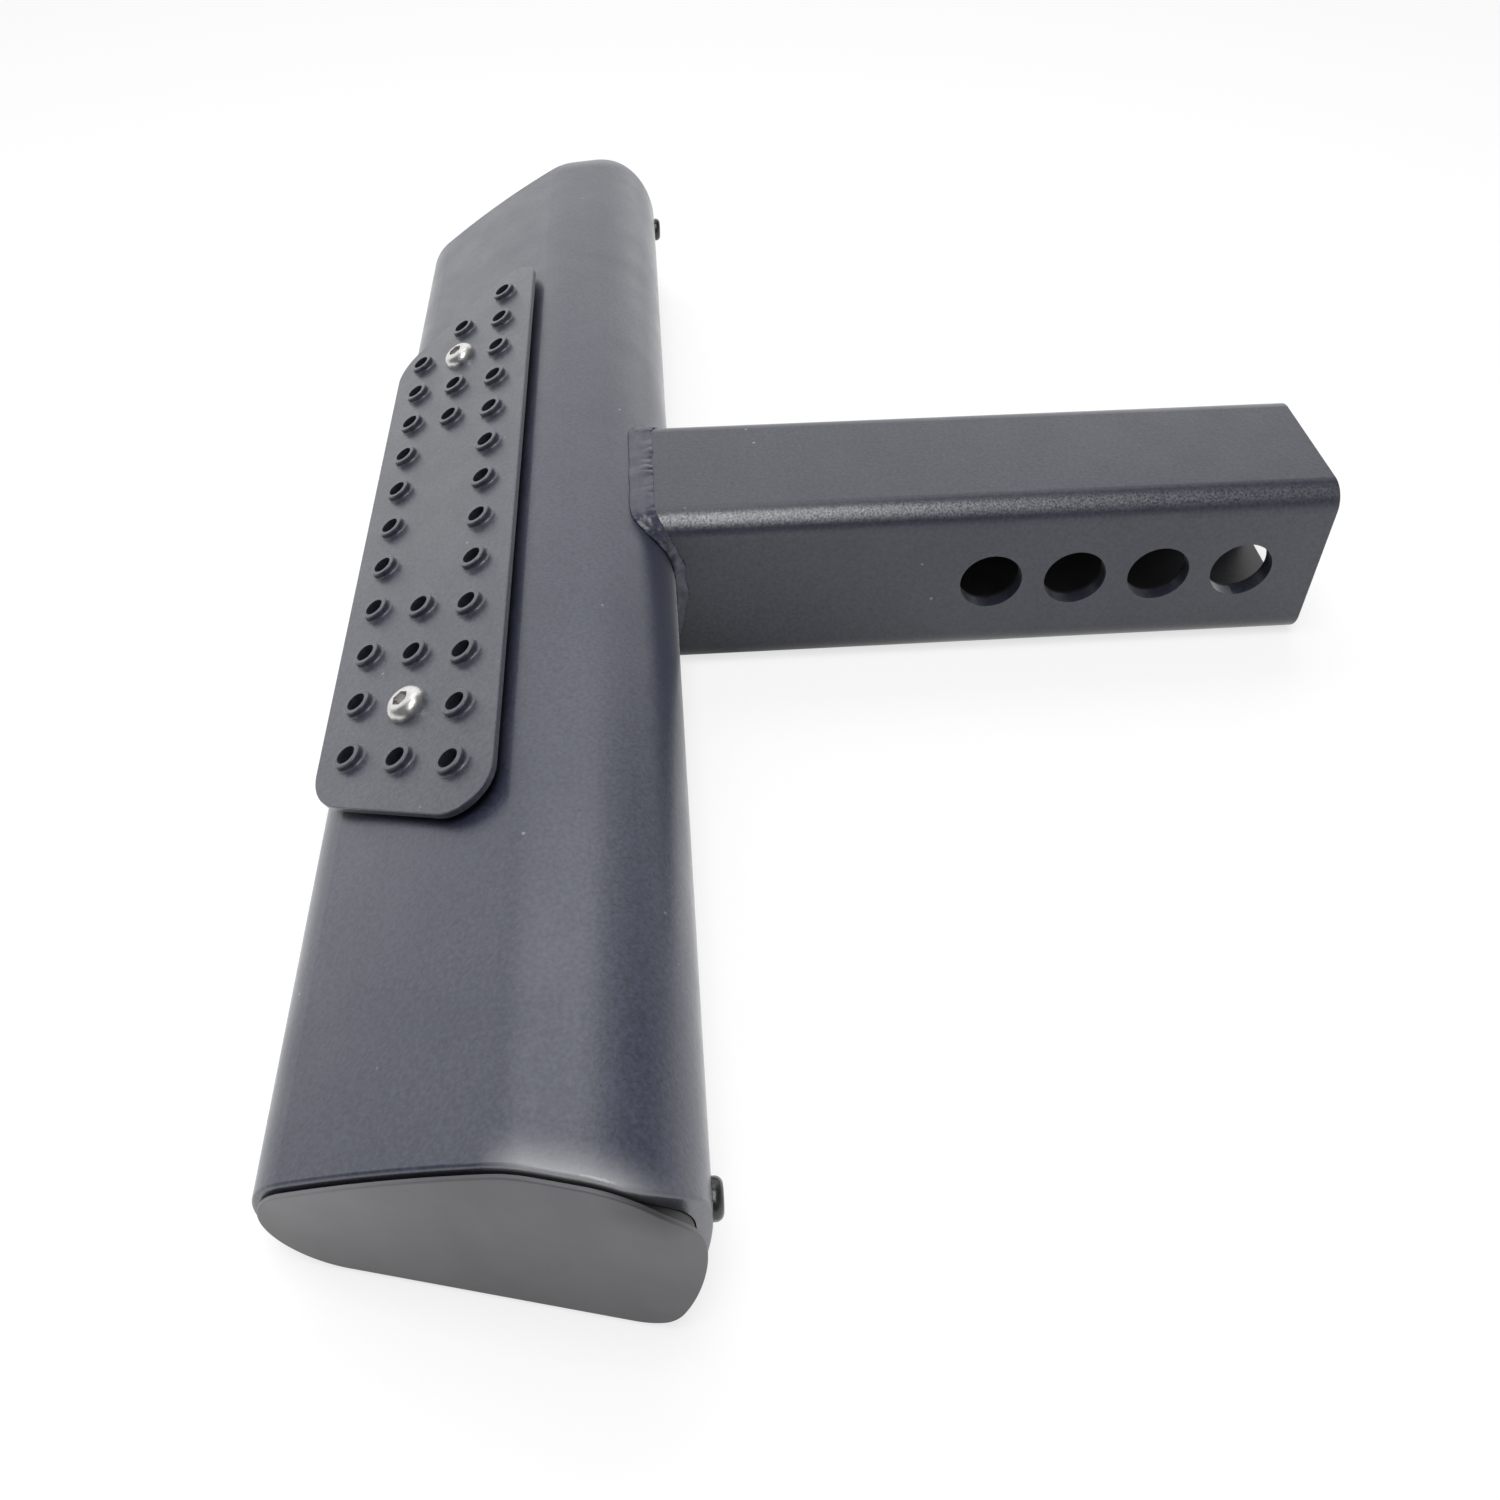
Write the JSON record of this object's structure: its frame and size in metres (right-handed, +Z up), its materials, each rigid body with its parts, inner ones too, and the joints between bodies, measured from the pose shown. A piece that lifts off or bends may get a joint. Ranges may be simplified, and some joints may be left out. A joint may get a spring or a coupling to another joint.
{
  "type": "hitch receiver step",
  "caption": "Step for a vehicle's hitch receiver: an airfoil step bar with a dimpled tread plate and capped mitred ends, welded across a square shank with pin holes.",
  "frame": {"origin": "middle of the bar's flat underside, in the step's plane of symmetry", "axes": "+X along the bar, +Y along the shank towards the vehicle, +Z up"},
  "size_m": [0.4334, 0.2714, 0.0545],
  "materials": {
    "bar_coat": "satin powder coat",
    "shank_coat": "satin powder coat",
    "weld_coat": "satin powder coat over a rippled weld",
    "tread_coat": "satin powder coat",
    "zinc_steel": "zinc plated",
    "stainless_steel": "bright",
    "cap_plastic": "satin, moulded",
    "black_steel": "gloss black"
  },
  "bodies": {
    "root": {"step_bar": "bar_coat", "receiver_shank": "shank_coat", "weld_bead": "weld_coat", "tread_plate": "tread_coat", "rivet_nuts": "zinc_steel", "plate_screws": "stainless_steel", "end_cap_left": "cap_plastic", "end_cap_right": "cap_plastic", "cap_screws": "black_steel"}
  },
  "joints": []
}
